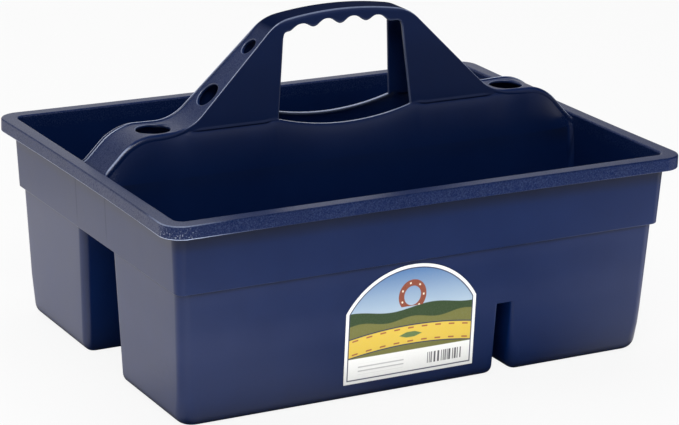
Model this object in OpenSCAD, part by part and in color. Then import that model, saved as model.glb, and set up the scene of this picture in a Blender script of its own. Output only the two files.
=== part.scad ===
// Carrying box for horse grooming tools: three open wells under one rim, with a
// hollow divider that rises between them into straps, a hand hole and a finger grip.
// X runs along the handle, -Y is the front and Z is up, with the floor at Z = 0.

/* [Rim] */
// Length over the rim's lip
rim_length = 445; // [400:1:500]
// Width over the rim's lip
rim_width = 334; // [300:1:380]
// Height of the rim's top above the floor
rim_height = 165.5; // [150:0.5:180]
// Width of the rim's flat top
rim_top_width = 11.4; // [9:0.1:15]
// Height of the lip that hangs from the rim's outer edge
lip_height = 10.6; // [7:0.1:16]
// Corner radius of the lip, seen from above
rim_corner = 18.5; // [17:0.5:26]
// Radius on the rim's outer top edge
rim_round = 2; // [0.5:0.1:2.4]

/* [Walls] */
// Thickness of every moulded wall
wall = 2.8; // [2.2:0.1:3.4]
// Lean of the outer walls, in degrees from upright
wall_draft = 2.68; // [1:0.01:4]
// Lean of the walls that face the slot between the two front wells, in degrees from upright
slot_draft = 1.6; // [0.5:0.1:3]
// Lean of the walls that face the slot between the front and rear wells, in degrees from upright
core_draft = 2.9; // [1:0.1:4]
// Height of the step that runs round the body
step_height = 107.7; // [95:0.1:115]
// How far the wells stand in below the step
step_depth = 2.7; // [1:0.1:4]

/* [Wells] */
// Radius between a well's floor and its walls
well_round = 8.5; // [6:0.5:16]
// Corner radius of a well, seen from above
well_corner = 9.5; // [7:0.5:12]
// Corner radius of a front well beside the slot between the two, seen from above
slot_corner = 3; // [1:0.1:5]
// Smallest radius left in a corner
least_corner = 0.7; // [0.3:0.1:1]
// Width of the slot between the front and rear wells, at its top
core_slot_width = 55.6; // [48:0.1:70]
// Width of the slot between the two front wells, at its top
front_slot_width = 12.4; // [9:0.1:20]
// Height of the slot between the two front wells
front_slot_height = 60.3; // [45:0.1:75]
// Distance of that slot's middle from the middle of the box
front_slot_place = 72.3; // [40:0.1:100]

/* [Straps] */
// Height of each strap's flat saddle above the rim's top
saddle_rise = 24.5; // [15:0.1:32]
// How far below the rim's top a strap leaves it
strap_drop = 2.6; // [1:0.1:5]
// Distance from a strap's rim end to its flat saddle
saddle_place = 43.1; // [40:0.1:50]
// Length of the flat saddle
saddle_flat = 16.1; // [8:0.1:24]
// Width of a strap over its saddle
strap_width = 45; // [40:0.5:52]
// Radius of the bend over the rim end of a strap
shoulder_radius = 39.6; // [25:0.1:42]
// Radius of the bend from the saddle up the handle
saddle_radius = 37; // [25:0.1:45]
// Diameter of the tool hole in each saddle
low_hole_diameter = 27; // [20:0.1:30]
// Diameter of the lower tool hole on each strap's slope
mid_hole_diameter = 20.5; // [15:0.1:22]
// Diameter of the upper tool hole on each strap's slope
high_hole_diameter = 14; // [10:0.1:16]

/* [Handle] */
// Height of the grip's top above the saddles
handle_rise = 82.3; // [70:0.1:100]
// Width of the handle where it leaves the divider
handle_width = 38; // [34:0.5:42]
// Lean of the handle's sides, in degrees from upright
handle_draft = 5.25; // [3:0.05:6]
// Length of the grip's long arch
grip_arch_length = 96.5; // [80:0.5:100]
// Radius of the grip's long arch
grip_arch_radius = 290; // [200:1:400]
// Radius of the bend from a strap into the grip
grip_turn_radius = 35; // [25:0.5:40]
// Length of the hand hole at its foot
hand_hole_foot = 120; // [112:0.5:130]
// Length of the hand hole under the grip
hand_hole_top = 107; // [98:0.5:112]
// How far the hand hole's lower edge sags at its middle
hand_hole_sag = 8.8; // [3:0.1:12]
// Depth of the grip from its top to the tips between the fingers
grip_depth = 12; // [10:0.1:16]
// Depth of each finger hollow
finger_depth = 4.8; // [2:0.1:6]
// Distance between finger hollows
finger_pitch = 23.2; // [20:0.1:25]
// Distance of the middle finger tip from the middle of the box, towards -X
finger_shift = 3; // [0:0.1:4]

/* [Divider] */
// How far below the crease the divider's shoulder turns down
shoulder_fall = 5; // [3:0.5:12]

/* [Label] */
// Width of the label
label_width = 114; // [80:1:130]
// Height of the label's straight sides
label_side = 58; // [30:1:60]
// Rise of the label's arched top above its sides
label_arch = 33; // [15:1:34]
// Thickness of the label
label_thickness = 0.4; // [0.2:0.1:0.8]
// Height of the label's lower edge above the floor
label_foot = 13.5; // [12:0.5:15]
// Distance of the label's middle from the middle of the box, towards -X
label_shift = 12; // [0:0.5:60]

/* [Hidden] */

navy = [0.16, 0.2, 0.34];
deep_navy = [0.13, 0.17, 0.3];
label_white = [0.93, 0.93, 0.9];

// Points in each rounded corner, and the smoothness of the tool holes
corner_steps = 6;
round_steps = 4;
hole_fn = 64;
// Stations along half of the handle's profile, and rows down the divider's shoulder
half_stations = 40;
shoulder_rows = 8;
// Points along the hand hole's sagging edge and in each finger hollow
sag_steps = 16;
finger_count = 4;
finger_steps = 8;
// Overrun of every cut
cut = 10;
// Places of the two tool holes along a strap's straight slope, from its foot
slope_hole_shares = [0.2075, 0.795];

// Outer walls: distance of the outer face in from the lip, at height z
function band_inset(z) = rim_top_width - wall + (rim_height - z) * tan(wall_draft);
function well_inset(z) = band_inset(z) + step_depth;

// Half the width of the slot between the front and rear wells, at height z
function core_half(z) = core_slot_width / 2 + (step_height - z) * tan(core_draft);

// Edges of the slot between the two front wells, at height z
function slot_half(z) = front_slot_width / 2 + (front_slot_height - z) * tan(slot_draft);

// Inner face of the end walls above the step, at height z
function end_face(z) = rim_length / 2 - band_inset(z) - wall;

bridge_top = front_slot_height + wall;
ledge_top = step_height + wall;
rim_under = rim_height - wall;

// A ring of points round a rounded rectangle at height z, with a radius for each corner
function ring(low, high, radii, z) = [
    for (corner = [0:3], i = [0:corner_steps])
        let (a = 90 * (corner + i / corner_steps),
             radius = radii[corner],
             cx = corner == 0 || corner == 3 ? high[0] - radius : low[0] + radius,
             cy = corner < 2 ? high[1] - radius : low[1] + radius)
        [cx + radius * cos(a), cy + radius * sin(a), z]
];

// A ring that follows the lip's outline, moved in by a distance
function lip_ring(inset, z) =
    let (half = [rim_length / 2 - inset, rim_width / 2 - inset],
         radius = rim_corner - inset)
    ring(-half, half, [radius, radius, radius, radius], z);

// Joins rings of equal count into one closed skin; a hoop also joins last to first
module loft(rings, hoop = false) {
    n = len(rings[0]);
    m = len(rings);
    sides = [
        for (j = [0:(hoop ? m - 1 : m - 2)], i = [0:n - 1])
            let (a = j * n + i,
                 b = j * n + (i + 1) % n,
                 c = ((j + 1) % m) * n + (i + 1) % n,
                 d = ((j + 1) % m) * n + i)
            each [[a, c, b], [a, d, c]]
    ];
    caps = hoop ? [] : [[for (i = [0:n - 1]) i],
                        [for (i = [n - 1:-1:0]) (m - 1) * n + i]];
    polyhedron([for (r = rings) each r], concat(sides, caps));
}

// Joins two equal grids of points, one on each side of a sheet, into a closed skin
module sheet(outer, inner) {
    rows = len(outer[0]);
    stations = len(outer);
    size = rows * stations;
    function at(i, j, side) = side * size + i * rows + j;
    faces = [
        for (i = [0:stations - 2], j = [0:rows - 2])
            each [[at(i, j, 0), at(i, j + 1, 0), at(i + 1, j, 0)],
                  [at(i + 1, j, 0), at(i, j + 1, 0), at(i + 1, j + 1, 0)],
                  [at(i, j, 1), at(i + 1, j, 1), at(i, j + 1, 1)],
                  [at(i + 1, j, 1), at(i + 1, j + 1, 1), at(i, j + 1, 1)]]
    ];
    long_edges = [
        for (i = [0:stations - 2])
            each [[at(i, 0, 0), at(i + 1, 0, 0), at(i, 0, 1)],
                  [at(i + 1, 0, 0), at(i + 1, 0, 1), at(i, 0, 1)],
                  [at(i, rows - 1, 0), at(i, rows - 1, 1), at(i + 1, rows - 1, 0)],
                  [at(i + 1, rows - 1, 0), at(i, rows - 1, 1), at(i + 1, rows - 1, 1)]]
    ];
    ends = [
        for (j = [0:rows - 2])
            each [[at(0, j, 0), at(0, j, 1), at(0, j + 1, 0)],
                  [at(0, j + 1, 0), at(0, j, 1), at(0, j + 1, 1)],
                  [at(stations - 1, j, 0), at(stations - 1, j + 1, 0), at(stations - 1, j, 1)],
                  [at(stations - 1, j + 1, 0), at(stations - 1, j + 1, 1), at(stations - 1, j, 1)]]
    ];
    polyhedron(concat([for (s = outer) each s], [for (s = inner) each s]),
               concat(faces, long_edges, ends));
}

// Rim: a flat ring with a rounded outer edge and a hanging lip
module rim() {
    turn = [for (i = [0:round_steps]) 90 * i / round_steps];
    section = concat(
        [[wall, rim_height - lip_height], [0, rim_height - lip_height]],
        [for (a = turn) [rim_round * (1 - cos(a)), rim_height - rim_round * (1 - sin(a))]],
        [[rim_top_width, rim_height], [rim_top_width, rim_under], [wall, rim_under]]
    );
    color(navy) loft([for (p = section) lip_ring(p[0], p[1])], hoop = true);
}

// Collar: the upper wall from the step to the rim, with the step's ledge at its foot
module collar() {
    foot = well_inset(step_height) + wall;
    section = [
        [foot, step_height],
        [band_inset(step_height), step_height],
        [band_inset(rim_under), rim_under],
        [band_inset(rim_under) + wall, rim_under],
        [band_inset(ledge_top) + wall, ledge_top],
        [foot, ledge_top]
    ];
    color(navy) loft([for (p = section) lip_ring(p[0], p[1])], hoop = true);
}

// Low and high corners of a well's plan at height z, moved in by a distance.
// The sides are [left, right] along X: 0 is the end wall, 1 is the front slot.
function well_low(z, inset, left) = [
    (left == 0 ? well_inset(z) - rim_length / 2 : front_slot_place + slot_half(z)) + inset,
    well_inset(z) - rim_width / 2 + inset
];
function well_high(z, inset, right) = [
    (right == 0 ? rim_length / 2 - well_inset(z) : front_slot_place - slot_half(z)) - inset,
    -core_half(z) - inset
];
function well_ring(z, inset, left, right) =
    let (corner = [max(well_corner - inset, wall), max(slot_corner - inset, least_corner)])
    ring(well_low(z, inset, left), well_high(z, inset, right),
         [corner[right], corner[left], corner[left], corner[right]], z);

// Rings that turn from a floor at height z up to the walls with a round of that radius
function floor_rings(z, radius, gap, left, right) = [
    for (i = [0:round_steps])
        let (a = 90 * i / round_steps,
             up = z + radius * (1 - cos(a)))
        well_ring(up, gap + radius * (1 - sin(a)), left, right)
];

// One open well from the floor up to a height
module well(top, left, right) {
    outside = concat(floor_rings(0, well_round, 0, left, right), [well_ring(top, 0, left, right)]);
    inside = concat(floor_rings(wall, well_round - wall, wall, left, right),
                    [well_ring(top, wall, left, right)]);
    loft(concat(outside, [for (i = [len(inside) - 1:-1:0]) inside[i]]));
}

module large_front_well() {
    color(navy) well(bridge_top, 0, 1);
}

module small_front_well() {
    color(navy) well(bridge_top, 1, 0);
}

module rear_well() {
    color(navy) mirror([0, 1, 0]) well(step_height, 0, 0);
}

// Front trough: the walls that both front wells share, from the slot's bridge to the step
module front_trough() {
    rings = [
        for (p = [[0, bridge_top], [0, step_height], [wall, step_height], [wall, bridge_top]])
            well_ring(p[1], p[0], 0, 0)
    ];
    color(navy) loft(rings, hoop = true);
}

// Bridge: closes the slot between the front wells at its top
module front_slot_bridge() {
    function plan(z) =
        let (half = slot_half(z) + slot_corner)
        [[front_slot_place - half, well_inset(z) - rim_width / 2],
         [front_slot_place + half, -core_half(z)]];
    color(navy)
        difference() {
            loft([for (z = [front_slot_height, bridge_top])
                ring(plan(z)[0], plan(z)[1], [for (corner = [0:3]) least_corner], z)]);
            for (side = [[0, 1], [1, 0]])
                loft([for (z = [front_slot_height - cut, bridge_top + cut])
                    well_ring(z, 0, side[0], side[1])]);
        }
}

// Strap profile: flat saddle, then arcs joined by straight slopes that touch both
saddle_height = rim_height + saddle_rise;
grip_height = saddle_height + handle_rise;
strap_foot = rim_height - strap_drop;

// Lower slope: from the rim end, touching the shoulder's arc
foot_rise = strap_foot - saddle_height + shoulder_radius;
lower_slope = asin(shoulder_radius / norm([saddle_place, foot_rise])) - atan2(foot_rise, saddle_place);
strap_end = end_face(strap_foot - wall / cos(lower_slope));
saddle_out = strap_end - saddle_place;
saddle_in = saddle_out - saddle_flat;

// Turn into the grip: an arc that carries on from the end of the long arch
arch_lean = asin(grip_arch_length / 2 / grip_arch_radius);
turn_x = (grip_arch_radius - grip_turn_radius) * sin(arch_lean);
turn_z = grip_height - grip_arch_radius + (grip_arch_radius - grip_turn_radius) * cos(arch_lean);

// Upper slope: touches the saddle's arc from below and the turn's arc from above
span = [saddle_in - turn_x, saddle_height + saddle_radius - turn_z];
upper_slope = asin((saddle_radius + grip_turn_radius) / norm(span)) - atan2(span[1], span[0]);

// Height of the strap and grip at a place along X, at a depth below their top face
function strap_z(x, depth) =
    let (ax = abs(x),
         shoulder = shoulder_radius - depth,
         saddle = saddle_radius + depth,
         turn = grip_turn_radius - depth,
         arch = grip_arch_radius - depth)
    ax > saddle_out + shoulder * sin(lower_slope)
        ? strap_foot + (strap_end - ax) * tan(lower_slope) - depth / cos(lower_slope)
    : ax > saddle_out
        ? saddle_height - shoulder_radius + sqrt(shoulder ^ 2 - (ax - saddle_out) ^ 2)
    : ax > saddle_in
        ? saddle_height - depth
    : ax > saddle_in - saddle * sin(upper_slope)
        ? saddle_height + saddle_radius - sqrt(saddle ^ 2 - (saddle_in - ax) ^ 2)
    : ax > turn_x + turn * sin(upper_slope)
        ? turn_z + grip_turn_radius * cos(upper_slope)
            - (ax - turn_x - grip_turn_radius * sin(upper_slope)) * tan(upper_slope)
            - depth / cos(upper_slope)
    : ax > turn_x + turn * sin(arch_lean)
        ? turn_z + sqrt(turn ^ 2 - (ax - turn_x) ^ 2)
    : grip_height - grip_arch_radius + sqrt(arch ^ 2 - ax ^ 2);

// Where the underside of a strap passes the height of the crease
crease_turn = acos(saddle_radius / (saddle_radius + wall));
crease_end = crease_turn < upper_slope
    ? saddle_in - (saddle_radius + wall) * sin(crease_turn)
    : saddle_in - saddle_radius * tan(upper_slope / 2) - wall / sin(upper_slope);

// Half the width of the divider's top edge, which widens from the crease to the saddle
function edge_half(x) =
    let (t = min(max((abs(x) - crease_end) / (saddle_out - crease_end), 0), 1))
    handle_width / 2 + (strap_width - handle_width) / 2 * t * t * (3 - 2 * t);

// Half the width of a strap, which narrows up the handle
function strap_half(x) = edge_half(x) - max(strap_z(x, 0) - saddle_height, 0) * tan(handle_draft);

function between(a, b, n) = [for (i = [0:n]) a + (b - a) * i / n];
grip_end = hand_hole_top / 2;

// A strip of the profile from x0 to x1, one wall thick and as wide as the strap
module profile_strip(x0, x1, n) {
    xs = between(x0, x1, n);
    back = [for (i = [n:-1:0]) xs[i]];
    intersection() {
        rotate([90, 0, 0])
            linear_extrude(strap_width + cut, center = true)
                polygon(concat([for (x = xs) [x, strap_z(x, 0)]], [for (x = back) [x, strap_z(x, wall)]]));
        linear_extrude(grip_height + cut)
            polygon(concat([for (x = xs) [x, strap_half(x)]], [for (x = back) [x, -strap_half(x)]]));
    }
}

// A tool hole square to the strap, at a place along X and the slope there
module tool_hole(x, z, slope, diameter) {
    translate([x, 0, z])
        rotate([0, slope, 0])
            cylinder(h = wall + 2 * cut, d = diameter, center = true, $fn = hole_fn);
}

// Left strap, from the rim over its saddle and up to the hand hole
module strap() {
    slope_foot = saddle_in - saddle_radius * sin(upper_slope);
    slope_top = turn_x + grip_turn_radius * sin(upper_slope);
    slope_xs = [for (share = slope_hole_shares) slope_foot + (slope_top - slope_foot) * share];
    difference() {
        profile_strip(-strap_end, -grip_end, half_stations);
        tool_hole(-(saddle_out + saddle_in) / 2, saddle_height, 0, low_hole_diameter);
        tool_hole(-slope_xs[0], strap_z(slope_xs[0], 0), -upper_slope, mid_hole_diameter);
        tool_hole(-slope_xs[1], strap_z(slope_xs[1], 0), -upper_slope, high_hole_diameter);
    }
}

module strap_left() {
    color(navy) strap();
}

module strap_right() {
    color(navy) mirror([1, 0, 0]) strap();
}

// The leaning slab that the handle's front side lies in
module side_slab() {
    translate([0, -handle_width / 2, saddle_height])
        rotate([-handle_draft, 0, 0])
            translate([-rim_length / 2, 0, -cut])
                cube([rim_length, wall, grip_height]);
}

// Cheek: the side of the handle between a strap and the hand hole
module cheek() {
    xs = between(-crease_end, -grip_end, half_stations);
    color(deep_navy)
        intersection() {
            side_slab();
            rotate([90, 0, 0])
                linear_extrude(strap_width + cut, center = true)
                    polygon(concat([for (x = xs) [x, strap_z(x, wall)]],
                                   [[-grip_end, grip_height - grip_depth],
                                    [-hand_hole_foot / 2, saddle_height]]));
        }
}

module cheek_front_left() {
    cheek();
}

module cheek_front_right() {
    mirror([1, 0, 0]) cheek();
}

module cheek_rear_left() {
    mirror([0, 1, 0]) cheek();
}

module cheek_rear_right() {
    mirror([0, 1, 0]) mirror([1, 0, 0]) cheek();
}

// Lower edge of the grip: hollows for the fingers with a rounded tip between them
function finger_edge(x) =
    let (reach = finger_count * finger_pitch / 2,
         along = abs(x + finger_shift),
         wave = (1 + cos(360 * (x + finger_shift) / finger_pitch)) / 2)
    grip_height - grip_depth + (along < reach ? finger_depth * (1 - wave) : 0);

// Grip: the top of the handle with a scalloped skirt on each side
module grip() {
    n = finger_count * finger_steps;
    xs = between(-grip_end, grip_end, half_stations);
    lower = between(grip_end, -grip_end, n);
    color(navy) {
        profile_strip(-grip_end, grip_end, half_stations);
        for (side = [0, 1])
            mirror([0, side, 0])
                intersection() {
                    side_slab();
                    rotate([90, 0, 0])
                        linear_extrude(strap_width + cut, center = true)
                            polygon(concat([for (x = xs) [x, strap_z(x, wall)]],
                                           [for (x = lower) [x, finger_edge(x)]]));
                }
    }
}

// Height of the divider's top edge: the crease, the straps' underside, or the sagging lip
sag_radius = ((hand_hole_foot / 2) ^ 2 + hand_hole_sag ^ 2) / (2 * hand_hole_sag);
function edge_z(x) =
    abs(x) < hand_hole_foot / 2
        ? saddle_height - sqrt(sag_radius ^ 2 - x ^ 2) + sag_radius - hand_hole_sag
        : min(saddle_height, strap_z(x, wall));

// Half the width between the divider's well-side faces at height z, below its shoulder
function face_half(z) = core_half(z) + wall;

// The divider's shoulder: a curve from its top edge, past a turn, down to the step
function shoulder_bends(x) =
    let (top = edge_z(x),
         turn = top - shoulder_fall)
    [[edge_half(x), top], [face_half(turn), turn], [face_half(step_height), step_height]];
function shoulder(p, t) = (1 - t) ^ 2 * p[0] + 2 * t * (1 - t) * p[1] + t ^ 2 * p[2];

// Way into the wall: square to the curve, but level where the curve starts and ends
function way_in(p, t) =
    let (run = (1 - t) * (p[1] - p[0]) + t * (p[2] - p[1]))
    t == 0 || t == 1 ? [-1, 0] : [run[1], -run[0]] / norm(run);

// Front half of the divider, from the wells' walls up to the crease, straps and hand hole
module divider_side() {
    foot = hand_hole_foot / 2;
    half = concat(between(-strap_end, -crease_end, half_stations / 2),
                  [for (x = between(-crease_end, -foot, sag_steps / 2)) if (x > -crease_end) x],
                  [for (x = between(-foot, 0, sag_steps)) if (x > -foot) x]);
    stations = concat(half, [for (i = [len(half) - 2:-1:0]) -half[i]]);
    function squeeze(z) = min(1, end_face(z) / strap_end);
    function skin(inset) = [
        for (x = stations)
            let (bends = shoulder_bends(x))
            [for (t = between(0, 1, shoulder_rows))
                let (p = shoulder(bends, t),
                     q = p + inset * way_in(bends, t))
                [x * squeeze(p[1]), -q[0], q[1]]]
    ];
    ledge = rim_length / 2 - well_inset(step_height) - wall;
    color(deep_navy)
        difference() {
            sheet(skin(0), skin(wall));
            for (side = [0, 1])
                mirror([side, 0, 0])
                    translate([ledge, -rim_width / 2, step_height - cut])
                        cube([rim_length, rim_width, wall + cut]);
        }
}

module divider_front() {
    divider_side();
}

module divider_rear() {
    mirror([0, 1, 0]) divider_side();
}

// Label: a thin sheet with an arched top on the large front well's leaning face
module label() {
    arch_radius = ((label_width / 2) ^ 2 + label_arch ^ 2) / (2 * label_arch);
    color(label_white)
        translate([-label_shift, well_inset(label_foot) - rim_width / 2, label_foot])
            rotate([90 + wall_draft, 0, 0])
                linear_extrude(label_thickness)
                    union() {
                        translate([-label_width / 2, 0])
                            square([label_width, label_side]);
                        intersection() {
                            translate([0, label_side + label_arch - arch_radius])
                                circle(arch_radius, $fn = hole_fn);
                            translate([-label_width / 2, label_side])
                                square([label_width, label_arch]);
                        }
                    }
}

rim();
collar();
front_trough();
large_front_well();
small_front_well();
front_slot_bridge();
rear_well();
divider_front();
divider_rear();
strap_left();
strap_right();
cheek_front_left();
cheek_front_right();
cheek_rear_left();
cheek_rear_right();
grip();
label();
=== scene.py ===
"""Grooming box: a navy moulded tote with three wells, a carrying handle and a front label."""

import math

import bmesh
import bpy
from mathutils import Matrix, Vector


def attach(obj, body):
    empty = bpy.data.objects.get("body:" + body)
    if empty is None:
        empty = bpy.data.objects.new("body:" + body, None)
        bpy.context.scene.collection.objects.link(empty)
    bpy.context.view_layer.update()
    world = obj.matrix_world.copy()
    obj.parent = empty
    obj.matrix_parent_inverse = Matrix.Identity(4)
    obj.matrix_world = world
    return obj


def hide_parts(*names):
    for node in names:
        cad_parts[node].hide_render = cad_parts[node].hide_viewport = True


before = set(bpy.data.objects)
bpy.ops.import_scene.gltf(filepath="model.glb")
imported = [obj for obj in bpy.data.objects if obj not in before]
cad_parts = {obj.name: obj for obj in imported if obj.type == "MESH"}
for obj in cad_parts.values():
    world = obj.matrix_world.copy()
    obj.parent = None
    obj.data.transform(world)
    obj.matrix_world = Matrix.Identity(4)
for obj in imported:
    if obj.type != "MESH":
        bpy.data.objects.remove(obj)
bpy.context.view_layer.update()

MM = 0.001

# Sizes of the part, in millimetres
RIM_LENGTH, RIM_WIDTH, RIM_HEIGHT = 445.0, 334.0, 165.5
RIM_TOP, LIP_HEIGHT, RIM_CORNER = 11.4, 10.6, 18.5
RIM_CORNER_LEAST, RIM_BOW, BAND_BOW = 7.0, 2.5, 0.4
LIP_FOOT = RIM_HEIGHT - LIP_HEIGHT
WALL = 2.8
WALL_LEAN = math.tan(math.radians(2.68))
SLOT_LEAN = math.tan(math.radians(1.6))
CORE_LEAN = math.tan(math.radians(2.9))
STEP, STEP_DEPTH = 107.7, 2.7
WELL_ROUND, WELL_CORNER = 8.5, 9.5
SLOT_CORNER, SLOT_FLOOR_CORNER, SLOT_CORNER_LEAST = 3.0, 9.5, 0.9
FLOOR_CORNER, FLOOR_TURN, CORE_ROUND_SHARE, REAR_CORE_CORNER = 14.0, 30.0, 0.35, 6.5
CORE_SLOT, FRONT_SLOT, FRONT_SLOT_TOP, FRONT_SLOT_X = 55.6, 12.4, 60.3, 72.3
SADDLE = RIM_HEIGHT + 24.5
GRIP_TOP = SADDLE + 82.3
STRAP_FOOT = RIM_HEIGHT - 2.6
SADDLE_PLACE, SADDLE_FLAT, STRAP_WIDTH = 43.1, 16.1, 45.0
SHOULDER_R, SADDLE_R, TURN_R, ARCH_R, ARCH_LENGTH = 39.6, 37.0, 35.0, 290.0, 96.5
HANDLE_WIDTH = 38.0
HANDLE_LEAN = math.tan(math.radians(5.25))
HOLE_FOOT, HOLE_TOP, HOLE_SAG = 60.0, 53.8, 8.8
GRIP_DEPTH, FINGER_DEPTH, FINGER_PITCH, FINGER_SHIFT, FINGER_DROOP = 12.0, 4.8, 23.2, 3.0, 2.4
HOLE_SKEW, CREASE_DROP = 1.5, 1.7
SHOULDER_FALL, END_FALL, SHOULDER_SWELL, EDGE_DROP = 5.0, 18.0, 1.5, 1.6
LABEL_WIDTH, LABEL_SIDE, LABEL_ARCH = 114.0, 58.0, 33.0
LABEL_FOOT, LABEL_X, LABEL_THICK = 13.5, -12.0, 0.35

# Where small forms begin and end along the handle, as distances from its middle
SWELL_RUN, SWELL_FADE = (112, 160), 176
SKEW_RUN, SKEW_FADE = (30, 52), (62, 90)
DROOP_RUN, GRIP_RUN, DISH_START, GRIP_END = (20, 42), (46, 68), (58, 74), 58
FINGER_POWER = 1.35

LABEL_ARCH_R = ((LABEL_WIDTH / 2) ** 2 + LABEL_ARCH ** 2) / (2 * LABEL_ARCH)
LABEL_UNIT = 100  # millimetres to one unit of the print's map

CORNER_STEPS, SIDE_STEPS, TURN_STEPS = 10, 12, 8
SHARP_ANGLE = math.radians(38)
BRIDGE_TOP = FRONT_SLOT_TOP + WALL
LEDGE_TOP = STEP + WALL


def band_inset(z):
    return RIM_TOP - WALL + (RIM_HEIGHT - z) * WALL_LEAN


def well_inset(z):
    return band_inset(z) + STEP_DEPTH


def core_half(z):
    return CORE_SLOT / 2 + (STEP - z) * CORE_LEAN


def slot_half(z):
    return FRONT_SLOT / 2 + (FRONT_SLOT_TOP - z) * SLOT_LEAN


def end_face(z):
    return RIM_LENGTH / 2 - band_inset(z) - WALL


def smooth(a, b, v):
    t = min(max((v - a) / (b - a), 0.0), 1.0)
    return t * t * (3 - 2 * t)


# Strap profile: a flat saddle, then arcs joined by straight slopes
foot_rise = STRAP_FOOT - SADDLE + SHOULDER_R
LOW_SLOPE = (math.asin(SHOULDER_R / math.hypot(SADDLE_PLACE, foot_rise))
             - math.atan2(foot_rise, SADDLE_PLACE))
STRAP_END = end_face(STRAP_FOOT - WALL / math.cos(LOW_SLOPE))
SADDLE_OUT = STRAP_END - SADDLE_PLACE
SADDLE_IN = SADDLE_OUT - SADDLE_FLAT
ARCH_LEAN = math.asin(ARCH_LENGTH / 2 / ARCH_R)
TURN_X = (ARCH_R - TURN_R) * math.sin(ARCH_LEAN)
TURN_Z = GRIP_TOP - ARCH_R + (ARCH_R - TURN_R) * math.cos(ARCH_LEAN)
span_x, span_z = SADDLE_IN - TURN_X, SADDLE + SADDLE_R - TURN_Z
UP_SLOPE = (math.asin((SADDLE_R + TURN_R) / math.hypot(span_x, span_z))
            - math.atan2(span_z, span_x))
CREASE_END = SADDLE_IN - math.sqrt((SADDLE_R + WALL) ** 2 - SADDLE_R ** 2)
SAG_R = (HOLE_FOOT ** 2 + HOLE_SAG ** 2) / (2 * HOLE_SAG)


def fullness(x):
    """Extra height of the right shoulder."""
    return SHOULDER_SWELL * smooth(*SWELL_RUN, x) * (1 - smooth(SWELL_FADE, STRAP_END, x))


def strap_z(x, depth):
    return strap_profile(x, depth) + fullness(x)


def strap_profile(x, depth):
    ax = abs(x)
    shoulder, saddle = SHOULDER_R - depth, SADDLE_R + depth
    turn, arch = TURN_R - depth, ARCH_R - depth
    if ax > SADDLE_OUT + shoulder * math.sin(LOW_SLOPE):
        return STRAP_FOOT + (STRAP_END - ax) * math.tan(LOW_SLOPE) - depth / math.cos(LOW_SLOPE)
    if ax > SADDLE_OUT:
        return SADDLE - SHOULDER_R + math.sqrt(shoulder ** 2 - (ax - SADDLE_OUT) ** 2)
    if ax > SADDLE_IN:
        return SADDLE - depth
    if ax > SADDLE_IN - saddle * math.sin(UP_SLOPE):
        return SADDLE + SADDLE_R - math.sqrt(saddle ** 2 - (SADDLE_IN - ax) ** 2)
    if ax > TURN_X + turn * math.sin(UP_SLOPE):
        return (TURN_Z + TURN_R * math.cos(UP_SLOPE) - depth / math.cos(UP_SLOPE)
                - (ax - TURN_X - TURN_R * math.sin(UP_SLOPE)) * math.tan(UP_SLOPE))
    if ax > TURN_X + turn * math.sin(ARCH_LEAN):
        return TURN_Z + math.sqrt(turn ** 2 - (ax - TURN_X) ** 2)
    return GRIP_TOP - ARCH_R + math.sqrt(arch ** 2 - ax ** 2)


def skew(x):
    """Moves the right side of the hand hole towards the middle."""
    return x - HOLE_SKEW * smooth(*SKEW_RUN, x) * (1 - smooth(*SKEW_FADE, x))


def edge_half(x):
    """Half the width at the straps' edges: narrow along the handle, wide on the shoulders."""
    t = smooth(CREASE_END, SADDLE_OUT, abs(x))
    return HANDLE_WIDTH / 2 + (STRAP_WIDTH - HANDLE_WIDTH) / 2 * t


def finger_edge(x):
    along = x + FINGER_SHIFT
    wave = (1 + math.cos(2 * math.pi * along / FINGER_PITCH)) / 2
    hollow = 1 - wave ** FINGER_POWER if abs(along) < 2 * FINGER_PITCH else 0
    return GRIP_TOP - GRIP_DEPTH + FINGER_DEPTH * hollow - FINGER_DROOP * smooth(*DROOP_RUN, abs(x))


def edge_z(x):
    """Height of the crease at the cheeks' feet, and of the hollow under the hand hole."""
    ax = abs(x)
    if ax < HOLE_FOOT:
        return SADDLE - math.sqrt(SAG_R ** 2 - x * x) + SAG_R - HOLE_SAG
    drop = CREASE_DROP * smooth(HOLE_FOOT, HOLE_FOOT + 14, ax)
    drop *= 1 - smooth(CREASE_END - 10, CREASE_END + 8, ax)
    return min(SADDLE, strap_z(x, WALL + EDGE_DROP * strap_part(x))) - drop


def strap_part(x):
    """0 along the handle, 1 along the straps' shoulders."""
    return smooth(CREASE_END - 5, SADDLE_OUT - 4, abs(x))


# Mesh helpers
def make_mesh(name, points, faces, weld=1e-3, painted_light=None, flat=None):
    """A smooth-shaded mesh from points in millimetres; its per-point values paint highlights along
    edges, and shade below zero; flat maps a print.
    """
    mesh = bpy.data.meshes.new(name)
    mesh.from_pydata([(p[0] * MM, p[1] * MM, p[2] * MM) for p in points], [], faces)
    if painted_light is not None:
        mesh.attributes.new("painted_light", "FLOAT", "POINT").data.foreach_set("value", painted_light)
    if flat is not None:
        uvs = mesh.uv_layers.new(name="print").data
        for loop in mesh.loops:
            uvs[loop.index].uv = flat[loop.vertex_index]
    bm = bmesh.new()
    bm.from_mesh(mesh)
    bmesh.ops.remove_doubles(bm, verts=bm.verts, dist=weld * MM)
    bmesh.ops.dissolve_degenerate(bm, edges=bm.edges, dist=weld * MM)
    bmesh.ops.recalc_face_normals(bm, faces=bm.faces)
    bm.to_mesh(mesh)
    bm.free()
    mesh.polygons.foreach_set("use_smooth", [True] * len(mesh.polygons))
    mesh.set_sharp_from_angle(angle=SHARP_ANGLE)
    obj = bpy.data.objects.new(name, mesh)
    bpy.context.scene.collection.objects.link(obj)
    return obj


def weigh_normals(obj):
    mod = obj.modifiers.new("normals", "WEIGHTED_NORMAL")
    mod.keep_sharp = True
    mod.weight = 60


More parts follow.
